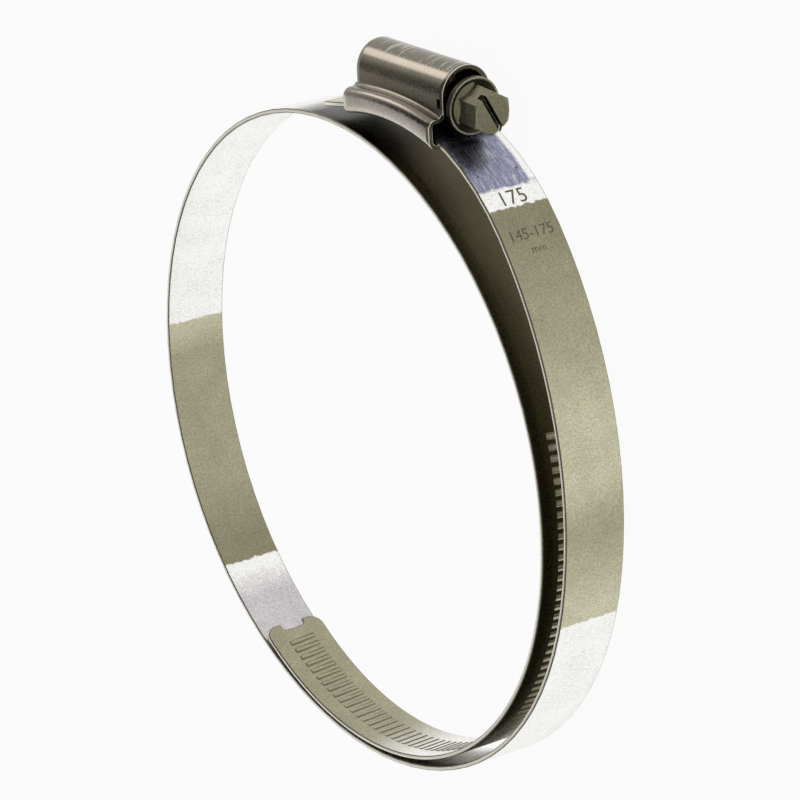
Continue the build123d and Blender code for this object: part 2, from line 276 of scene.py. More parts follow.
def steel(name, tone, roughness, grain=0.24):
    """A satin steel of one tone."""
    material, tree, shader = start_steel(name)
    grain_steel(tree, shader, tone[:3], roughness, grain)
    return material


def zone_tones(tree, distance, zones, settings):
    """Colours along the strip: a first tone, then where each next one takes over."""
    first, *changes = zones
    colour = getattr(settings, first)[:]
    for start, end, name in changes:
        share = add_node(tree, "ShaderNodeMapRange", {
            "Value": distance, "From Min": start * MM, "From Max": end * MM})
        mixed = add_node(tree, "ShaderNodeMix", {
            0: share.outputs[0], 6: colour, 7: getattr(settings, name)[:]}, data_type="RGBA")
        colour = mixed.outputs[2]
    return colour


def brush_and_shine(tree, ways, strip, colour, settings):
    """Bright brush strokes along the violet stretch, and a painted white reflection along its one
    edge.
    """
    stretch = add_node(tree, "ShaderNodeMapping", {"Vector": strip, "Scale": (300, 4200, 1)})
    strokes = add_node(tree, "ShaderNodeTexNoise", {
        "Vector": stretch.outputs[0], "Scale": 1, "Detail": 3, "Roughness": 0.7}).outputs["Fac"]
    bright = add_node(tree, "ShaderNodeMapRange", {
        "Value": strokes, "From Min": 0.5, "From Max": 0.72, "To Max": 0.75}).outputs[0]
    # Painted reflection: a white band along one edge of the strip.
    shining = add_node(tree, "ShaderNodeMapRange", {
        "Value": ways.outputs["Y"], "From Min": -4.3 * MM, "From Max": -4.9 * MM}).outputs[0]
    either = add_node(tree, "ShaderNodeMath", {0: bright, 1: shining}, operation="MAXIMUM")
    start = add_node(tree, "ShaderNodeMapRange", {
        "Value": ways.outputs["X"], "From Min": 566 * MM, "From Max": 568 * MM})
    end = add_node(tree, "ShaderNodeMapRange", {
        "Value": ways.outputs["X"], "From Min": 590 * MM, "From Max": 582 * MM})
    place = add_node(tree, "ShaderNodeMath", {0: start.outputs[0], 1: end.outputs[0]},
                     operation="MULTIPLY")
    share = add_node(tree, "ShaderNodeMath", {0: either.outputs[0], 1: place.outputs[0]},
                     operation="MULTIPLY")
    return add_node(tree, "ShaderNodeMix", {
        0: share.outputs[0], 6: colour, 7: settings.bright[:]}, data_type="RGBA").outputs[2]


def strip_steel(name, zones, settings, roughness, rubbed=False):
    """Steel of the strip, whose tone changes along it with painted reflections and painted shade.
    """
    material, tree, shader = start_steel(name)
    strip = add_node(tree, "ShaderNodeUVMap", uv_map="strip").outputs["UV"]
    ways = add_node(tree, "ShaderNodeSeparateXYZ", {0: strip})
    ragged = add_node(tree, "ShaderNodeTexNoise", {
        "Vector": strip, "Scale": 900, "Detail": 3}).outputs["Fac"]
    shift = spread(tree, ragged, -0.25 * MM, 0.25 * MM)
    distance = add_node(tree, "ShaderNodeMath", {0: ways.outputs["X"], 1: shift})
    colour = zone_tones(tree, distance.outputs[0], zones, settings)
    # The stretch beside the housing gets brush strokes and a painted white reflection along one
    # edge.
    if rubbed:
        colour = brush_and_shine(tree, ways, strip, colour, settings)
    grain_steel(tree, shader, colour, roughness)
    return material


def deselect_all():
    """Leaves object mode with nothing selected, so the next operator acts on its own piece."""
    if bpy.context.object and bpy.context.object.mode != "OBJECT":
        bpy.ops.object.mode_set(mode="OBJECT")
    bpy.ops.object.select_all(action="DESELECT")


def only(piece):
    """Makes one piece the selected and active one."""
    deselect_all()
    piece.select_set(True)
    bpy.context.view_layer.objects.active = piece


def pick(piece, kind, test):
    """In edit mode, selects just the vertices, edges or faces that pass a test."""
    bpy.ops.mesh.select_mode(type=kind)
    bpy.ops.mesh.select_all(action="DESELECT")
    mesh = bmesh.from_edit_mesh(piece.data)
    parts = {"VERT": mesh.verts, "EDGE": mesh.edges, "FACE": mesh.faces}[kind]
    for part in parts:
        if test(part):
            part.select_set(True)
    mesh.select_flush_mode()
    bmesh.update_edit_mesh(piece.data)


def block(name, low, high):
    """A box between two corners, its place applied, in edit mode."""
    deselect_all()
    size = Vector(high) - Vector(low)
    bpy.ops.mesh.primitive_cube_add(size=1, location=(Vector(low) + Vector(high)) / 2)
    piece = bpy.context.object
    piece.name = name
    piece.scale = size
    bpy.ops.object.transform_apply(location=True, rotation=True, scale=True)
    bpy.ops.object.mode_set(mode="EDIT")
    return piece


def near(value, target):
    return abs(value - target) < 0.01 * MM


def cut_rows(piece, heights):
    """Cuts the strip along its length at these heights, so that its sections join up."""
    for height in heights:
        bpy.ops.mesh.select_all(action="SELECT")
        bpy.ops.mesh.bisect(plane_co=(0, 0, height), plane_no=(0, 0, 1))


def open_ends(piece, places):
    """Deletes the end faces at these distances, where sections of the strip join."""
    pick(piece, "FACE", lambda face: abs(face.normal.x) > 0.99 and any(
        near(face.calc_center_median().x, place) for place in places))
    bpy.ops.mesh.delete(type="FACE")


def join(pieces, name):
    """Joins pieces into the first one and merges where they touch."""
    only(pieces[0])
    for piece in pieces[1:]:
        piece.select_set(True)
    bpy.ops.object.join()
    piece = bpy.context.object
    piece.name = name
    bpy.ops.object.mode_set(mode="EDIT")
    bpy.ops.mesh.select_all(action="SELECT")
    bpy.ops.mesh.remove_doubles(threshold=0.004 * MM)
    bpy.ops.object.mode_set(mode="OBJECT")
    return piece


def apply_modifier(piece, kind, **values):
    """Adds a modifier to a piece, sets its values and applies it."""
    only(piece)
    modifier = piece.modifiers.new(kind.lower(), kind)
    for key, value in values.items():
        setattr(modifier, key, value)
    bpy.ops.object.modifier_apply(modifier=modifier.name)


def remove(piece):
    bpy.data.objects.remove(piece, do_unlink=True)


# Arcs of the coiled strip from its tip: end heading, and how the radius grows past the seat's.
# A heading is the strip's direction in degrees, turned clockwise from the screw's direction.
TIP_HEADING = 575.5
LAYER = 1.06 * MM
COIL = (
    (452.5, 0),
    (332.5, 2.08 * LAYER),
    (212.5, 1.04 * LAYER),
    (152.5, 7.83 * LAYER),
    (102.5, 2.7 * MM),
    (52.5, 16.5 * MM),
    (-9.5, -19.1 * MM),
)
ROWS = (-3.4 * MM, 3.4 * MM)
# Tones of the strip's two faces, painted reflections and painted shade over the satin steel: the
# first, then where each next one comes in, in millimetres from the strip's tip.
OUTER_ZONES = (
    "satin",
    (56, 60, "gap_shade"),
    (196, 208, "deep_shade"),
    (224, 232, "bright"),
    (247, 255, "satin"),
    (430, 438, "bright"),
    (489.8, 490.1, "pale"),
    (494, 506, "satin"),
    (508, 516, "pale"),
    (526, 540, "satin"),
    (544, 560, "olive"),
    (563.2, 563.4, "bright"),
    (566.7, 567.3, "violet"),
    (579, 585, "deep_shade"),
    (599, 604, "pale"),
)
INNER_ZONES = (
    "satin",
    (36, 52, "bright"),
    (307.3, 307.6, "pale"),
    (308, 314, "satin"),
    (340, 352, "olive"),
    (356.1, 356.4, "bright"),
    (358, 364, "lilac"),
    (376, 386, "satin"),
    (408, 424, "bright"),
    (444, 452, "satin"),
)
# Brightness of the light tent by height, from the floor's level, 0, to straight above, 1.
TENT = ((0.47, 1.0), (0.52, 0.8), (0.56, 0.4), (0.60, 0.07), (0.66, 0.07), (0.8, 0.25), (1.0, 0.5))


def outward(heading):
    turn = math.radians(heading)
    return Vector((math.sin(turn), math.cos(turn), 0))


def coil_line(settings):
    """Points along the middle of the coiled strip, from its tip to its tongue's end."""
    seat = settings.seat_radius + settings.thickness / 2
    centre = Vector((0, 0, 0))
    radius = seat
    heading = TIP_HEADING
    points = [outward(heading) * radius]
    for end, growth in COIL:
        centre = centre + outward(heading) * (radius - seat - growth)
        radius = seat + growth
        steps = math.ceil(heading - end)
        for step in range(1, steps + 1):
            points.append(centre + outward(heading + (end - heading) * step / steps) * radius)
        heading = end
    turn = math.radians(heading)
    back = Vector((-math.cos(turn), math.sin(turn), 0))
    points.append(points[-1] + back * settings.tongue)
    return points


def coil_path(points):
    """A curve through the points, for the flat strip to follow."""
    deselect_all()
    curve = bpy.data.curves.new("coil_path", "CURVE")
    curve.dimensions = "3D"
    curve.twist_mode = "Z_UP"
    line = curve.splines.new("POLY")
    line.points.add(len(points) - 1)
    for place, point in zip(points, line.points):
        point.co = (*place, 1)
    path = bpy.data.objects.new("coil_path", curve)
    bpy.context.scene.collection.objects.link(path)
    return path


def make_tip(settings, length):
    """Fish-tail end: two rounded lobes with a shallow notch between them."""
    half = settings.width / 2
    skin = settings.thickness / 2
    tip = block("tip", (0, -skin, -half), (length, skin, half))
    cut_rows(tip, ROWS)
    pick(tip, "EDGE", lambda edge: all(
        near(vert.co.x, 0) and near(abs(vert.co.z), half) for vert in edge.verts))
    bpy.ops.mesh.bevel(offset=2.4 * MM, offset_type="OFFSET", segments=10, profile=0.5)
    open_ends(tip, (length,))
    bpy.ops.object.mode_set(mode="OBJECT")
    notch = block("notch", (-1.4 * MM, -2 * skin, -2.35 * MM), (1.4 * MM, 2 * skin, 2.35 * MM))
    pick(notch, "EDGE", lambda edge: all(near(vert.co.x, 1.4 * MM) for vert in edge.verts)
         and near(edge.verts[0].co.z, edge.verts[1].co.z))
    bpy.ops.mesh.bevel(offset=0.8 * MM, segments=6, profile=0.5)
    bpy.ops.object.mode_set(mode="OBJECT")
    return tip, notch


def make_thread_cell(settings, start):
    """One pitch of the tail: a slanted groove on the outer face and a low ridge inside.

    While the strip is flat, its outer face looks along -Y.
    """
    half = settings.width / 2
    skin = settings.thickness / 2
    cell = block("cell", (start, -skin, -half), (start + settings.pitch, skin, half))
    cut_rows(cell, ROWS)
    open_ends(cell, (start, start + settings.pitch))
    middle = start + settings.pitch / 2
    for side, depth in ((-1, -0.4 * MM), (1, 0.14 * MM)):
        pick(cell, "FACE", lambda face: face.normal.y * side > 0.99
             and near(face.calc_center_median().z, 0))
        bpy.ops.mesh.inset(thickness=0.2 * MM, use_even_offset=True)
        centre = Vector((middle, side * skin, 0))
        bpy.ops.transform.resize(
            value=(1.15 * MM / (settings.pitch - 0.4 * MM), 1,
                   settings.groove_length / (2 * ROWS[1] - 0.4 * MM)),
            center_override=centre)
        for end in (1, -1):
            pick(cell, "VERT", lambda vert: near(vert.co.y, side * skin)
                 and near(vert.co.z, end * settings.groove_length / 2))
            bpy.ops.transform.translate(value=(end * 0.26 * MM, 0, 0))
        pick(cell, "FACE", lambda face: face.normal.y * side > 0.99
             and all(abs(vert.co.z) < settings.groove_length / 2 + 0.01 * MM
                     for vert in face.verts))
        bpy.ops.mesh.extrude_region_move(
            TRANSFORM_OT_translate={"value": (0, side * depth, 0)})
        bpy.ops.transform.resize(value=(0.52, 1, 0.94),
                                 center_override=centre + Vector((0, side * depth, 0)))
    bpy.ops.object.mode_set(mode="OBJECT")
    return cell


def make_plain_strip(settings, start, length):
    """The rest of the strip, smooth on both faces, divided so that it can bend."""
    half = settings.width / 2
    skin = settings.thickness / 2
    strip = block("strip", (start, -skin, -half), (length, skin, half))
    cut_rows(strip, ROWS)
    open_ends(strip, (start,))
    pick(strip, "EDGE", lambda edge: abs(edge.verts[0].co.x - edge.verts[1].co.x) > MM)
    bpy.ops.mesh.subdivide(number_cuts=int((length - start) / (1.6 * MM)))
    pick(strip, "EDGE", lambda edge: all(
        near(vert.co.x, length) and near(abs(vert.co.z), half) for vert in edge.verts))
    bpy.ops.mesh.bevel(offset=0.5 * MM, segments=4, profile=0.5)
    bpy.ops.object.mode_set(mode="OBJECT")
    return strip


def finish_strip_faces(strip, skin):
    """Gives the flat strip's faces their colours: outer, inner, narrow edges and grooves, with
    painted reflection on the edges and groove floors and painted shade on the ridge sides.
    """
    for face in strip.data.polygons:
        if face.material_index == 3:
            continue
        way = face.normal.y
        place = face.center
        if way > 0.3:
            face.material_index = 5 if way < 0.97 and place.y > skin else 1
        elif way >= -0.3:
            face.material_index = 2
        elif way < -0.9 and place.y < 0.01 * MM - skin:
            face.material_index = 0
        else:
            face.material_index = 3 if place.x > STAMPED else 4


# The size marks stamped in the strip beyond the housing: distance from the tip, text, height.
STAMPED = 500 * MM
MARKS = (
    (564.9 * MM, 0.3 * MM, "175", 3.9 * MM),
    (558.2 * MM, 0, "145-175", 2.75 * MM),
    (555.4 * MM, -0.3 * MM, "mm", 2.0 * MM),
)


def stamp(strip, skin):
    """Sinks the size marks and two pips into the flat strip's outer face."""
    depth = 0.05 * MM
    for place, across, words, height in MARKS:
        deselect_all()
        bpy.ops.object.text_add(location=(0, 0, 0))
        mark = bpy.context.object
        mark.name = "mark"
        mark.data.body = words
        mark.data.size = height
        mark.data.align_x = "CENTER"
        mark.data.align_y = "CENTER"
        mark.data.extrude = depth
        mark.data.resolution_u = 3
        bpy.ops.object.convert(target="MESH")
        mark = bpy.context.object
        mark.matrix_world = Matrix((
            (0, 1, 0, place), (0, 0, -1, -skin), (-1, 0, 0, across), (0, 0, 0, 1)))
        bpy.ops.object.transform_apply(location=True, rotation=True, scale=True)
        bpy.ops.object.mode_set(mode="EDIT")
        bpy.ops.mesh.select_all(action="SELECT")
        bpy.ops.mesh.remove_doubles(threshold=0.001 * MM)
        bpy.ops.mesh.normals_make_consistent(inside=False)
        bpy.ops.object.mode_set(mode="OBJECT")
        apply_modifier(strip, "BOOLEAN", operation="DIFFERENCE", solver="EXACT", object=mark)
        remove(mark)
    for across in (4 * MM, -3.8 * MM):
        pip = block("pip", (570 * MM, -skin - depth, across), (
            570.35 * MM, depth - skin, across + 0.4 * MM))
        bpy.ops.object.mode_set(mode="OBJECT")
        apply_modifier(strip, "BOOLEAN", operation="DIFFERENCE", solver="EXACT", object=pip)
        remove(pip)


def lay_out_uv(piece):
    """UV map in metres: along the strip from its tip, and across it."""
    layer = piece.data.uv_layers.new(name="strip")
    for loop in piece.data.loops:
        place = piece.data.vertices[loop.vertex_index].co
        layer.data[loop.index].uv = (place.x, place.z)


class CLAMP_OT_band(bpy.types.Operator):
    """Builds the strip flat, with its fish-tail and pressed thread, and coils it"""
    bl_idname = "clamp.band"
    bl_label = "Band"

    def execute(self, context):
        settings = context.scene.clamp_band
        points = coil_line(settings)
        length = sum((b - a).length for a, b in zip(points, points[1:]))
        tip_length = 2.6 * MM + settings.pitch / 2
        tip, notch = make_tip(settings, tip_length)
        cell = make_thread_cell(settings, tip_length)
        apply_modifier(cell, "ARRAY", count=settings.grooves, use_relative_offset=False,
                       use_constant_offset=True,
                       constant_offset_displace=(settings.pitch, 0, 0),
                       use_merge_vertices=True, merge_threshold=0.004 * MM)
        plain_start = tip_length + settings.grooves * settings.pitch
        plain = make_plain_strip(settings, plain_start, length)
        band = join([tip, cell, plain], "steel_band")
        apply_modifier(band, "BOOLEAN", operation="DIFFERENCE", solver="EXACT", object=notch)
        remove(notch)
        band.data.materials.clear()
        for material in (
            strip_steel("strip_outer", OUTER_ZONES, settings, 0.3, rubbed=True),
            strip_steel("strip_inner", INNER_ZONES, settings, 0.3),
            steel("strip_edge", settings.edge, 0.3, 0.08),
            steel("strip_corner", settings.corner, 0.35, 0.1),
            steel("strip_groove", settings.groove, 0.3, 0.1),
            steel("strip_ridge", settings.ridge, 0.35, 0.1),
        ):
            band.data.materials.append(material)
        skin = settings.thickness / 2
        only(band)
        bpy.ops.object.mode_set(mode="EDIT")
        pick(band, "EDGE", lambda edge: len(edge.link_faces) == 2
             and all(near(abs(vert.co.y), skin) for vert in edge.verts)
             and edge.calc_face_angle(0) > 1.2)
        # The rounded corners get the corner steel, which is painted shade.
        bpy.ops.mesh.bevel(offset=0.16 * MM, segments=3, profile=0.5, clamp_overlap=True,
                           material=3)
        bpy.ops.object.mode_set(mode="OBJECT")
        stamp(band, skin)
        finish_strip_faces(band, skin)
        lay_out_uv(band)
        path = coil_path(points)
        apply_modifier(band, "CURVE", object=path, deform_axis="POS_X")
        remove(path)
        only(band)
        bpy.ops.object.shade_smooth_by_angle(angle=math.radians(25))
        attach(band, "clamp_body")
        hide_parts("band")
        return {"FINISHED"}


# Side view of the saddle, in millimetres: the undersides and tops of its two long arcs.
SADDLE_ENDS = (7.11 * MM, 32.51 * MM)
FLOOR_ARC = ((7.11, 62.80), (18.51, 63.886), (32.37, 61.575))
SHOULDER_ARC = ((7.11, 67.40), (18.51, 68.186), (32.37, 66.675))
FLOOR_LEVEL = 63 * MM
SADDLE_LEVEL = 65.5 * MM
SHOULDER_LEVEL = 67.6 * MM
TUBE_LEVEL = 70.186 * MM
TUBE_ADVANCE = 0.6 * MM
EAR = (31.3 * MM, 32.6 * MM)


def height_on(arc, x):
    """Height, at a distance along X, of the circle through three points of a side view."""
    (ax, ay), (bx, by), (cx, cy) = [(MM * px, MM * py) for px, py in arc]
    twice = 2 * (ax * (by - cy) + bx * (cy - ay) + cx * (ay - by))
    a, b, c = ax * ax + ay * ay, bx * bx + by * by, cx * cx + cy * cy
    middle = (a * (by - cy) + b * (cy - ay) + c * (ay - by)) / twice
    low = (a * (cx - bx) + b * (ax - cx) + c * (bx - ax)) / twice
    radius = math.hypot(ax - middle, ay - low)
    return low + math.sqrt(radius ** 2 - (x - middle) ** 2)


def make_half_skin(settings):
    """One side of the pressed sheet as a thin skin: floor, side, shoulder, wall and arch."""
    deselect_all()
    start, end = SADDLE_ENDS
    middle = (start + end) / 2
    seam = 0.25 * MM
    bpy.ops.mesh.primitive_plane_add(
        size=1, location=(middle, FLOOR_LEVEL, (seam + settings.half_width) / 2),
        rotation=(math.pi / 2, 0, 0))
    skin = bpy.context.object
    skin.name = "pressed_housing"
    skin.scale = (end - start, settings.half_width - seam, 1)
    bpy.ops.object.transform_apply(location=True, rotation=True, scale=True)
    bpy.ops.object.mode_set(mode="EDIT")
    pick(skin, "EDGE", lambda edge: all(
        near(vert.co.z, settings.half_width) for vert in edge.verts))
    for step in (
        (0, SHOULDER_LEVEL - FLOOR_LEVEL, 0),
        (0, 0, settings.tube_radius - settings.half_width),
        (0, TUBE_LEVEL - SHOULDER_LEVEL, 0),
    ):
        bpy.ops.mesh.extrude_region_move(TRANSFORM_OT_translate={"value": step})
    bpy.ops.mesh.spin(steps=16, angle=math.pi / 2, center=(middle, TUBE_LEVEL, 0),
                      axis=(1, 0, 0))
    for z, levels, radius, segments in (
        (settings.half_width, (FLOOR_LEVEL, SHOULDER_LEVEL), settings.corner, 8),
        (settings.tube_radius, (SHOULDER_LEVEL,), settings.crease, 5),
    ):
        pick(skin, "EDGE", lambda edge: all(
            near(vert.co.z, z) and any(near(vert.co.y, level) for level in levels)
            for vert in edge.verts))
        bpy.ops.mesh.bevel(offset=radius, segments=segments, profile=0.5)
    return skin


def curve_saddle(skin, settings):
    """Divides the skin along the tube and moves its rows on to the saddle's long arcs."""
    start, end = SADDLE_ENDS
    rows = 26
    places = [start + (end - start) * row / rows for row in range(rows + 1)]
    for place in places[1:-1]:
        bpy.ops.mesh.select_all(action="SELECT")
        bpy.ops.mesh.bisect(plane_co=(place, 0, 0), plane_no=(1, 0, 0))
    top = SHOULDER_LEVEL + settings.crease + 0.02 * MM
    for place in places:
        pick(skin, "VERT", lambda vert: near(vert.co.x, place) and vert.co.y < SADDLE_LEVEL)
        bpy.ops.transform.translate(value=(0, height_on(FLOOR_ARC, place) - FLOOR_LEVEL, 0))
    for place in places:
        pick(skin, "VERT", lambda vert: near(vert.co.x, place)
             and SADDLE_LEVEL < vert.co.y < top)
        bpy.ops.transform.translate(
            value=(0, height_on(SHOULDER_ARC, place) - SHOULDER_LEVEL, 0))
    pick(skin, "VERT", lambda vert: vert.co.z < settings.tube_radius + 0.01 * MM
         and vert.co.y > SADDLE_LEVEL)
    bpy.ops.transform.translate(value=(TUBE_ADVANCE, 0, 0))
    bpy.ops.object.mode_set(mode="OBJECT")


def press_ears(housing, settings):
    """Small ears pushed in at the tube's mouth to hold the screw: a dent and a lug each side."""
    wall = settings.tube_radius - settings.sheet
    for side in (1, -1):
        low, high = sorted((side * (settings.tube_radius - 0.68 * MM),
                            side * (settings.tube_radius + 0.6 * MM)))
        dent = block("dent", (EAR[0], 67.75 * MM, low), (EAR[1], 70.25 * MM, high))
        pick(dent, "FACE", lambda face: face.normal.z * side < -0.9)
        bpy.ops.transform.resize(value=(0.7, 0.42, 1), center_override=(
            sum(EAR) / 2, 68.85 * MM, side * (settings.tube_radius - 0.68 * MM)))
        bpy.ops.object.mode_set(mode="OBJECT")
        apply_modifier(housing, "BOOLEAN", operation="DIFFERENCE", solver="EXACT", object=dent)
        remove(dent)
        low, high = sorted((side * 2.45 * MM, side * (wall + 0.1 * MM)))
        lug = block("lug", (EAR[0], 67.2 * MM, low), (EAR[1], 70.1 * MM, high))
        pick(lug, "EDGE", lambda edge: abs(edge.verts[0].co.z) < 3 * MM
             and abs(edge.verts[1].co.z) < 3 * MM)
        bpy.ops.mesh.bevel(offset=0.25 * MM, segments=2, profile=0.5)
        bpy.ops.object.mode_set(mode="OBJECT")
        apply_modifier(housing, "BOOLEAN", operation="UNION", solver="EXACT", object=lug)
        remove(lug)


def housing_steel(settings):
    """Pressed steel: a dark tube, saddle sides painted paler by the way they face as painted
    reflection, and fine slanted scratches along the top.
    """
    material, tree, shader = start_steel("housing_steel")
    place = add_node(tree, "ShaderNodeTexCoord").outputs["Object"]
    ways = add_node(tree, "ShaderNodeSeparateXYZ", {0: place})
    # Painted reflection: saddle faces below the shoulder that turn sideways or down get the paler
    # tone.
    facing = add_node(tree, "ShaderNodeSeparateXYZ", {
        0: add_node(tree, "ShaderNodeTexCoord").outputs["Normal"]})
    side = add_node(tree, "ShaderNodeMath", {0: facing.outputs["Z"]}, operation="ABSOLUTE")
    down = add_node(tree, "ShaderNodeMath", {
        0: facing.outputs["Y"], 1: -1.2, 2: side.outputs[0]}, operation="MULTIPLY_ADD")
    away = add_node(tree, "ShaderNodeMapRange", {
        "Value": down.outputs[0], "From Min": 0.5, "From Max": 0.95})
    low = add_node(tree, "ShaderNodeMapRange", {
        "Value": ways.outputs["Y"], "From Min": 68.3 * MM, "From Max": 67.6 * MM})
    saddle = add_node(tree, "ShaderNodeMath", {0: away.outputs[0], 1: low.outputs[0]},
                      operation="MULTIPLY")
    colour = add_node(tree, "ShaderNodeMix", {
        0: saddle.outputs[0], 6: settings.tube_tone, 7: settings.painted_saddle_light},
        data_type="RGBA")
    turned_place = add_node(tree, "ShaderNodeMapping", {
        "Vector": place, "Rotation": (0, math.radians(32), 0), "Scale": (2400, 260, 260)})
    lines = add_node(tree, "ShaderNodeTexNoise", {
        "Vector": turned_place.outputs[0], "Scale": 1, "Detail": 1}).outputs["Fac"]
    thin = add_node(tree, "ShaderNodeMapRange", {
        "Value": lines, "From Min": 0.6, "From Max": 0.66})
    top = add_node(tree, "ShaderNodeMapRange", {
        "Value": ways.outputs["Y"], "From Min": 74.0 * MM, "From Max": 74.6 * MM,
        "To Max": 0.5})
    scratches = add_node(tree, "ShaderNodeMath", {0: thin.outputs[0], 1: top.outputs[0]},
                         operation="MULTIPLY")
    scratched = add_node(tree, "ShaderNodeMix", {
        0: scratches.outputs[0], 6: colour.outputs[2], 7: settings.rim_tone},
        data_type="RGBA")
    grain_steel(tree, shader, scratched.outputs[2], 0.17, 0.2)
    return material


class CLAMP_OT_housing(bpy.types.Operator):
    """Presses the housing from one sheet: the tube over the screw and the saddle round the band"""
    bl_idname = "clamp.housing"
    bl_label = "Housing"

    def execute(self, context):
        settings = context.scene.clamp_housing
        housing = make_half_skin(settings)
        curve_saddle(housing, settings)
        apply_modifier(housing, "MIRROR", use_axis=(False, False, True),
                       merge_threshold=0.01 * MM)
        for material in (
            housing_steel(settings),
            steel("housing_inside", settings.inside_shade_tone, 0.4),
            steel("housing_cut", settings.cut_tone, 0.4),
            steel("housing_rim", settings.rim_tone, 0.25, 0.06),
        ):
            housing.data.materials.append(material)
        # The new inner shell gets the inside steel, painted shade, and the cut edges their own
        # colour.
        apply_modifier(housing, "SOLIDIFY", thickness=settings.sheet, offset=-1,
                       use_even_offset=True, material_offset=1, material_offset_rim=2)
        only(housing)
        bpy.ops.object.mode_set(mode="EDIT")
        # The bevelled edges get the rim steel, a painted highlight.
        pick(housing, "EDGE", lambda edge: len(edge.link_faces) == 2
             and edge.calc_face_angle(0) > 1.2)
        bpy.ops.mesh.bevel(offset=0.1 * MM, segments=2, profile=0.5, clamp_overlap=True,
                           material=3)
        bpy.ops.object.mode_set(mode="OBJECT")
        press_ears(housing, settings)
        only(housing)
        bpy.ops.object.shade_smooth_by_angle(angle=math.radians(28))
        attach(housing, "clamp_body")
        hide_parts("housing")
        return {"FINISHED"}


# The screw's own line: a point of its axis, its dip in degrees, and distances along it.
SCREW_POINT = Vector((18.5116, 69.416, 0)) * MM
SCREW_DIP = -3.348
WORM = (-1.8 * MM, 12.45 * MM)
COLLAR = 15.8 * MM
FACE = 17 * MM


def turn_along(steps):
    """In edit mode, draws the selected end along the screw: each step's length and new radius."""
    place, radius = steps[0]
    for next_place, next_radius in steps[1:]:
        bpy.ops.mesh.extrude_region_move(
            TRANSFORM_OT_translate={"value": (next_place - place, 0, 0)})
        share = next_radius / radius
        bpy.ops.transform.resize(value=(1, share, share), center_override=(next_place, 0, 0))
        place, radius = next_place, next_radius


def turned(name, steps, corners):
    """A turned piece on the X axis, from distances along it and the radius at each."""
    deselect_all()
    place, radius = steps[0]
    bpy.ops.mesh.primitive_circle_add(vertices=corners, radius=radius, fill_type="NGON",
                                      location=(place, 0, 0), rotation=(0, math.pi / 2, 0))
    piece = bpy.context.object
    piece.name = name
    bpy.ops.object.transform_apply(location=True, rotation=True, scale=True)
    bpy.ops.object.mode_set(mode="EDIT")
    bpy.ops.mesh.select_all(action="SELECT")
    turn_along(steps)
    bpy.ops.mesh.select_all(action="SELECT")
    bpy.ops.mesh.normals_make_consistent(inside=False)
    bpy.ops.object.mode_set(mode="OBJECT")
    return piece


def make_shank(settings):
    """Pilot, core, neck and dished collar, turned in one."""
    rear, front = WORM
    collar = settings.collar_radius
    return turned("screw_body", (
        (rear - 5 * MM, 1.63 * MM),
        (rear - 4.63 * MM, 2 * MM),
        (rear, 2 * MM),
        (rear, 2.75 * MM),
        (front, 2.75 * MM),
        (front, 2.2 * MM),
        (COLLAR, 2.2 * MM),
        (COLLAR, collar - 0.14 * MM),
        (COLLAR + 0.05 * MM, collar - 0.04 * MM),
        (COLLAR + 0.15 * MM, collar),
        (FACE - 0.15 * MM, collar),
        (FACE - 0.05 * MM, collar - 0.04 * MM),
        (FACE, collar - 0.14 * MM),
        (FACE, collar - 0.36 * MM),
        (FACE - 0.12 * MM, collar - 0.44 * MM),
        (FACE - 0.26 * MM, collar - 0.88 * MM),
        (FACE - 0.45 * MM, collar - 1.7 * MM),
        (FACE - 0.45 * MM, 1 * MM),
    ), 64)


def make_worm(settings):
    """The worm: a trapezoid run round the core, closed at both ends."""
    rear, front = WORM
    deselect_all()
    bpy.ops.mesh.primitive_plane_add(size=1 * MM, location=(rear + 0.6 * MM, 3 * MM, 0))
    worm = bpy.context.object
    worm.name = "worm"
    bpy.ops.object.transform_apply(location=True, rotation=True, scale=True)
    bpy.ops.object.mode_set(mode="EDIT")
    for test, height, half in (
        (lambda vert: vert.co.y > 3 * MM, 3.4 * MM, 0.25 * MM),
        (lambda vert: vert.co.y < 3 * MM, 2.59 * MM, 0.6 * MM),
    ):
        pick(worm, "VERT", test)
        level = bmesh.from_edit_mesh(worm.data).verts
        now = next(vert.co.y for vert in level if vert.select)
        bpy.ops.transform.translate(value=(0, height - now, 0))
        bpy.ops.transform.resize(value=(half / (0.5 * MM), 1, 1),
                                 center_override=(rear + 0.6 * MM, height, 0))
    bpy.ops.mesh.select_all(action="SELECT")
    bpy.ops.mesh.delete(type="ONLY_FACE")
    bpy.ops.object.mode_set(mode="OBJECT")
    length = front - rear - 1.2 * MM
    turns = length / settings.pitch
    apply_modifier(worm, "SCREW", axis="X", angle=turns * 2 * math.pi, screw_offset=length,
                   steps=round(turns * 32), use_smooth_shade=True)
    bpy.ops.object.mode_set(mode="EDIT")
    bpy.ops.mesh.select_all(action="DESELECT")
    bpy.ops.mesh.select_mode(type="EDGE")
    bpy.ops.mesh.select_non_manifold()
    bpy.ops.mesh.edge_face_add()
    bpy.ops.mesh.select_all(action="SELECT")
    bpy.ops.mesh.normals_make_consistent(inside=False)
    bpy.ops.object.mode_set(mode="OBJECT")
    return worm


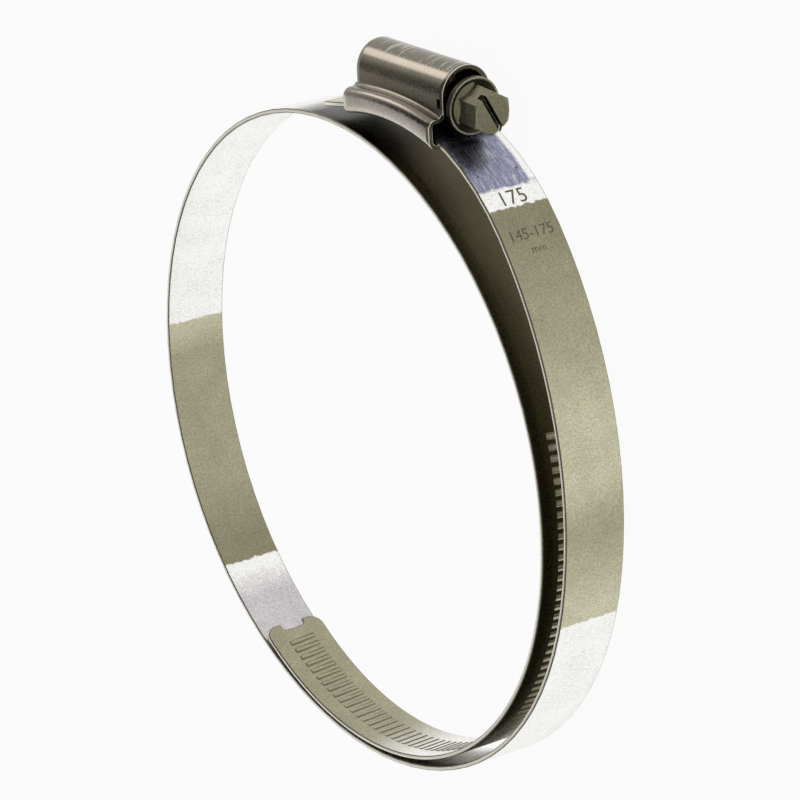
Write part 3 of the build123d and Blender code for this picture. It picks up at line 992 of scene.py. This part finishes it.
def make_head(settings):
    """Hexagon with turned-down corners and a driver slot across it."""
    corner = settings.flats / math.sqrt(3)
    end = FACE + settings.head_length
    base = FACE - 0.5 * MM
    head = turned("head", ((base, corner), (end, corner)), 6)
    fall = (corner + 0.1 * MM - 3.3 * MM) * math.tan(math.radians(30))
    cone = turned("cone", ((base - MM, corner + 0.1 * MM), (end - fall, corner + 0.1 * MM),
                           (end, 3.3 * MM)), 64)
    apply_modifier(head, "BOOLEAN", operation="INTERSECT", solver="EXACT", object=cone)
    remove(cone)
    half = settings.slot_width / 2
    slot = block("slot", (end - 1.5 * MM, -5 * MM, -half), (end + MM, 5 * MM, half))
    bpy.ops.mesh.select_all(action="SELECT")
    bpy.ops.transform.rotate(value=math.radians(-30), orient_axis="X",
                             center_override=(end, 0, 0))
    bpy.ops.object.mode_set(mode="OBJECT")
    apply_modifier(head, "BOOLEAN", operation="DIFFERENCE", solver="EXACT", object=slot)
    remove(slot)
    return head


def finish_screw_faces(screw, settings):
    """Painted reflection on the dish's upper facets; painted shade on its other facets, its wall,
    the slot, and the shank, worm and collar side; olive steel elsewhere.
    """
    half = settings.slot_width / 2
    for face in screw.data.polygons:
        if face.material_index == 3:
            continue
        place = face.center
        radius = math.hypot(place.y, place.z)
        # Painted reflection on the dish's upper facets, painted shade on the others.
        bright = place.z > 0 and place.y > -2.4 * MM
        if FACE - 0.5 * MM < place.x < FACE - 0.28 * MM and radius < 4.12 * MM:
            face.material_index = 1 if bright else 2
        # Painted shade on the dish's wall ring and on the shank, worm and collar side.
        elif place.x < FACE - 0.03 * MM and 4.1 * MM < radius < 4.62 * MM:
            face.material_index = 2
        elif place.x < COLLAR + MM:
            face.material_index = 2
        # Painted shade in the slot.
        turn = math.radians(30)
        across = place.z * math.cos(turn) - place.y * math.sin(turn)
        if place.x > FACE + 3 * MM and abs(across) < half + 0.01 * MM:
            face.material_index = 2


class CLAMP_OT_screw(bpy.types.Operator):
    """Turns the screw with its worm, dished collar and slotted hexagon, and sets it in place"""
    bl_idname = "clamp.screw"
    bl_label = "Screw"

    def execute(self, context):
        settings = context.scene.clamp_screw
        screw = make_shank(settings)
        for material in (
            steel("screw_steel", settings.tone, 0.32),
            steel("screw_dish", settings.dish_tone, 0.2, 0.05),
            steel("screw_shadow", settings.shadow_tone, 0.4),
            steel("screw_rim", settings.rim_tone, 0.25, 0.06),
        ):
            screw.data.materials.append(material)
        for piece in (make_worm(settings), make_head(settings)):
            apply_modifier(screw, "BOOLEAN", operation="UNION", solver="EXACT", object=piece)
            remove(piece)
        only(screw)
        bpy.ops.object.mode_set(mode="EDIT")
        # The bevelled edges at the collar's front and on the head get the rim steel, a painted
        # highlight.
        pick(screw, "EDGE", lambda edge: len(edge.link_faces) == 2
             and all(vert.co.x > FACE - 0.3 * MM for vert in edge.verts)
             and edge.calc_face_angle(0) > 0.35)
        bpy.ops.mesh.bevel(offset=0.11 * MM, segments=2, profile=0.5, clamp_overlap=True,
                           material=3)
        bpy.ops.object.mode_set(mode="OBJECT")
        finish_screw_faces(screw, settings)
        screw.rotation_euler = (0, 0, math.radians(SCREW_DIP))
        screw.location = SCREW_POINT
        bpy.ops.object.transform_apply(location=True, rotation=True, scale=True)
        bpy.ops.object.shade_smooth_by_angle(angle=math.radians(20))
        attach(screw, "worm_screw")
        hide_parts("screw")
        return {"FINISHED"}


class CLAMP_OT_stage(bpy.types.Operator):
    """Sets the floor, the lamps, the world and the camera"""
    bl_idname = "clamp.stage"
    bl_label = "Stage"

    def execute(self, context):
        settings = context.scene.clamp_stage
        lay_floor(settings)
        hang_lamps(settings)
        light_world(settings)
        set_camera(context)
        context.scene.view_settings.view_transform = "Standard"
        return {"FINISHED"}


def sees_background(tree):
    """1 for the rays that meet the background straight, by gloss or through glass."""
    path = add_node(tree, "ShaderNodeLightPath")
    gloss = add_node(tree, "ShaderNodeMath", {
        0: path.outputs["Is Camera Ray"], 1: path.outputs["Is Glossy Ray"]})
    glass = add_node(tree, "ShaderNodeMath", {
        0: gloss.outputs[0], 1: path.outputs["Is Transmission Ray"]}, use_clamp=True)
    return glass.outputs[0]


def lay_floor(settings):
    """A wide pale floor just under the clamp, which keeps the clamp's shadow."""
    low = CAD_BOX[0]
    bpy.ops.mesh.primitive_plane_add(size=6, location=(0, 0, low[2] - 0.02 * MM))
    floor = bpy.context.object
    floor.name = "floor"
    material = bpy.data.materials.new("floor_paper")
    material.use_nodes = True
    tree = material.node_tree
    tree.nodes.clear()
    paper = add_node(tree, "ShaderNodeBsdfDiffuse", {"Color": settings.floor_tone})
    white = add_node(tree, "ShaderNodeEmission", {"Strength": 1})
    share = add_node(tree, "ShaderNodeMath", {0: sees_background(tree), 1: 0.93},
                     operation="MULTIPLY")
    mix = add_node(tree, "ShaderNodeMixShader", {
        "Fac": share.outputs[0], 1: paper.outputs[0], 2: white.outputs[0]})
    add_node(tree, "ShaderNodeOutputMaterial", {"Surface": mix.outputs[0]})
    floor.data.materials.append(material)


def hang_lamps(settings):
    """A soft lamp low behind the clamp, which lights the tube's length, and one above."""
    for name, place, size, power, tint in (
        ("key_lamp", Vector((-0.72, 0.60, 0.25)), 0.3, settings.key_power, (1, 0.94, 1.0)),
        ("top_lamp", Vector((0.5, -0.4, 1.1)), 0.4, settings.key_power, (1, 1, 1)),
    ):
        bpy.ops.object.light_add(type="AREA", location=place)
        lamp = bpy.context.object
        lamp.name = name
        lamp.data.size = size
        lamp.data.energy = power
        lamp.data.color = tint
        lamp.rotation_euler = (-place).to_track_quat("-Z", "Y").to_euler()


def light_world(settings):
    """Light from all round, white at the horizon and dim overhead, as in a light tent."""
    world = bpy.data.worlds.new("studio_world")
    bpy.context.scene.world = world
    world.use_nodes = True
    tree = world.node_tree
    tree.nodes.clear()
    way = add_node(tree, "ShaderNodeTexCoord").outputs["Generated"]
    height = add_node(tree, "ShaderNodeSeparateXYZ", {0: way}).outputs["Z"]
    ramp = add_node(tree, "ShaderNodeValToRGB", {"Fac": height})
    elements = ramp.color_ramp.elements
    while len(elements) < len(TENT):
        elements.new(1)
    for element, (place, level) in zip(elements, TENT):
        element.position = place
        element.color = (level, level, level, 1)
    tent = add_node(tree, "ShaderNodeBackground", {
        "Color": ramp.outputs["Color"], "Strength": settings.world_level})
    add_node(tree, "ShaderNodeOutputWorld", {"Surface": tent.outputs[0]})


def set_camera(context):
    """Camera at the photograph's angle, looking down on the clamp as it lies flat."""
    azimuth = math.radians(24.040)
    elevation = math.radians(30.635)
    roll = math.radians(-3.223)
    distance = 687.1 * MM
    level = math.cos(elevation)
    back = Vector((level * math.cos(azimuth), level * math.sin(azimuth), math.sin(elevation)))
    right = (-back).cross(Vector((0, 1, 0))).normalized()
    up = right.cross(-back)
    turned_right = math.cos(roll) * right + math.sin(roll) * up
    turned_up = -math.sin(roll) * right + math.cos(roll) * up
    place = Matrix((turned_right, turned_up, back)).transposed().to_4x4()
    place.translation = distance * back
    data = bpy.data.cameras.new("camera")
    camera = bpy.data.objects.new("camera", data)
    context.scene.collection.objects.link(camera)
    camera.matrix_world = place
    data.sensor_width = 36
    data.lens = 3848.93 / 800 * 36
    data.shift_x = 23.537 / 800
    data.shift_y = 37.301 / 800
    data.clip_start = 0.01
    data.clip_end = 20
    context.scene.camera = camera


class CLAMP_PT_panel(bpy.types.Panel):
    """Lists the clamp's pieces in the sidebar"""
    bl_idname = "CLAMP_PT_panel"
    bl_label = "Hose Clamp"
    bl_space_type = "VIEW_3D"
    bl_region_type = "UI"
    bl_category = "Hose Clamp"

    def draw(self, context):
        column = self.layout.column()
        for operator in OPERATORS:
            column.operator(operator.bl_idname)


SETTINGS = (
    ("clamp_band", BandSettings),
    ("clamp_housing", HousingSettings),
    ("clamp_screw", ScrewSettings),
    ("clamp_stage", StageSettings),
)
OPERATORS = (CLAMP_OT_band, CLAMP_OT_housing, CLAMP_OT_screw, CLAMP_OT_stage)


def register():
    for name, group in SETTINGS:
        bpy.utils.register_class(group)
        setattr(bpy.types.Scene, name, bpy.props.PointerProperty(type=group))
    for operator in OPERATORS:
        bpy.utils.register_class(operator)
    bpy.utils.register_class(CLAMP_PT_panel)


def unregister():
    bpy.utils.unregister_class(CLAMP_PT_panel)
    for operator in reversed(OPERATORS):
        bpy.utils.unregister_class(operator)
    for name, group in reversed(SETTINGS):
        delattr(bpy.types.Scene, name)
        bpy.utils.unregister_class(group)


def main():
    register()
    bpy.ops.clamp.band()
    bpy.ops.clamp.housing()
    bpy.ops.clamp.screw()
    bpy.ops.clamp.stage()


if __name__ == "__main__":
    main()
